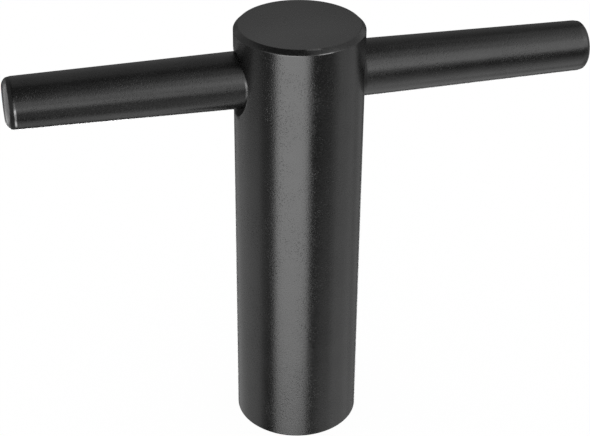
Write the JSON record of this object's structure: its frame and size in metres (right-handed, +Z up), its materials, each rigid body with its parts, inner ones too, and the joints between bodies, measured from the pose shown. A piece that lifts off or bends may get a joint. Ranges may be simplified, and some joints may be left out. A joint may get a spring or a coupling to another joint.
{
  "type": "toggle nut",
  "caption": "Tall cylindrical nut with a fixed cross bar: turned and tightened by hand, tapped from below.",
  "frame": {"origin": "centre of the body's foot, where it stands, on the axis of the tapped hole at its mouth", "axes": "+Z up the body, out of its top face; +X along the bar, towards its longer arm"},
  "size_m": [0.0645, 0.0142, 0.05],
  "materials": {
    "body_steel": "black oxide, satin",
    "bar_steel": "black oxide, satin"
  },
  "bodies": {
    "root": {"nut_body": "body_steel", "toggle_bar": "bar_steel"}
  },
  "joints": []
}
